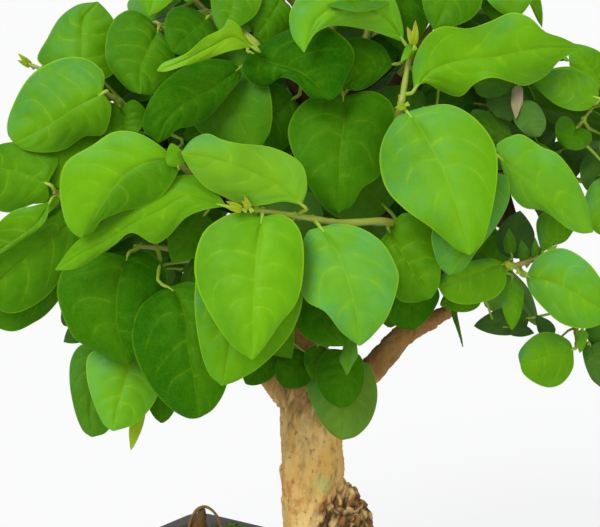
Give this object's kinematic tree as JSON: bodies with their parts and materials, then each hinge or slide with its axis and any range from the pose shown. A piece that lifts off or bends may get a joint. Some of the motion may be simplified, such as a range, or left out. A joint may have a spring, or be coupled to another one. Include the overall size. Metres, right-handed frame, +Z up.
{
  "type": "chinese privet bonsai",
  "caption": "Small privet tree with a dense domed crown of broad oval leaves on a forked trunk, in a plain rectangular footed pot.",
  "frame": {"origin": "middle of the whole tree and pot, on the surface that the pot stands on", "axes": "+Z up along the trunk, +X along the pot's long side, +Y along its short side; the tree's seen side faces -Y, turned 35 degrees towards +X"},
  "size_m": [0.2316, 0.209, 0.2912],
  "materials": {
    "bark": "matte",
    "foliage": "satin",
    "pot_body": "satin",
    "potting_soil": "matte"
  },
  "bodies": {
    "root": {"looping_root": "bark", "pot": "pot_body", "soil": "potting_soil", "spray_centre_low": "foliage", "spray_fill_01": "foliage", "spray_fill_02": "foliage", "spray_fill_03": "foliage", "spray_fill_04": "foliage", "spray_fill_05": "foliage", "spray_fill_06": "foliage", "spray_fill_07": "foliage", "spray_fill_09": "foliage", "spray_fill_10": "foliage", "spray_fill_12": "foliage", "spray_fill_15": "foliage", "spray_fill_17": "foliage", "spray_fill_18": "foliage", "spray_fill_20": "foliage", "spray_fill_22": "foliage", "spray_fill_23": "foliage", "spray_fill_25": "foliage", "spray_fill_28": "foliage", "spray_fill_31": "foliage", "spray_fill_33": "foliage", "spray_fill_35": "foliage", "spray_fill_36": "foliage", "spray_fill_38": "foliage", "spray_fill_41": "foliage", "spray_fill_44": "foliage", "spray_fill_46": "foliage", "spray_fill_49": "foliage", "spray_fill_51": "foliage", "spray_front_centre": "foliage", "spray_front_left": "foliage", "spray_left": "foliage", "spray_left_upper": "foliage", "spray_lower_left": "foliage", "spray_lower_left_inner": "foliage", "spray_right": "foliage", "spray_right_back": "foliage", "spray_right_low": "foliage", "spray_right_tip": "foliage", "spray_top_left": "foliage", "spray_top_right": "foliage", "spray_trunk_front": "foliage", "spray_upper_centre": "foliage", "spray_upper_left": "foliage", "spray_upper_right": "foliage", "trunk_and_branches": "bark"}
  },
  "joints": []
}
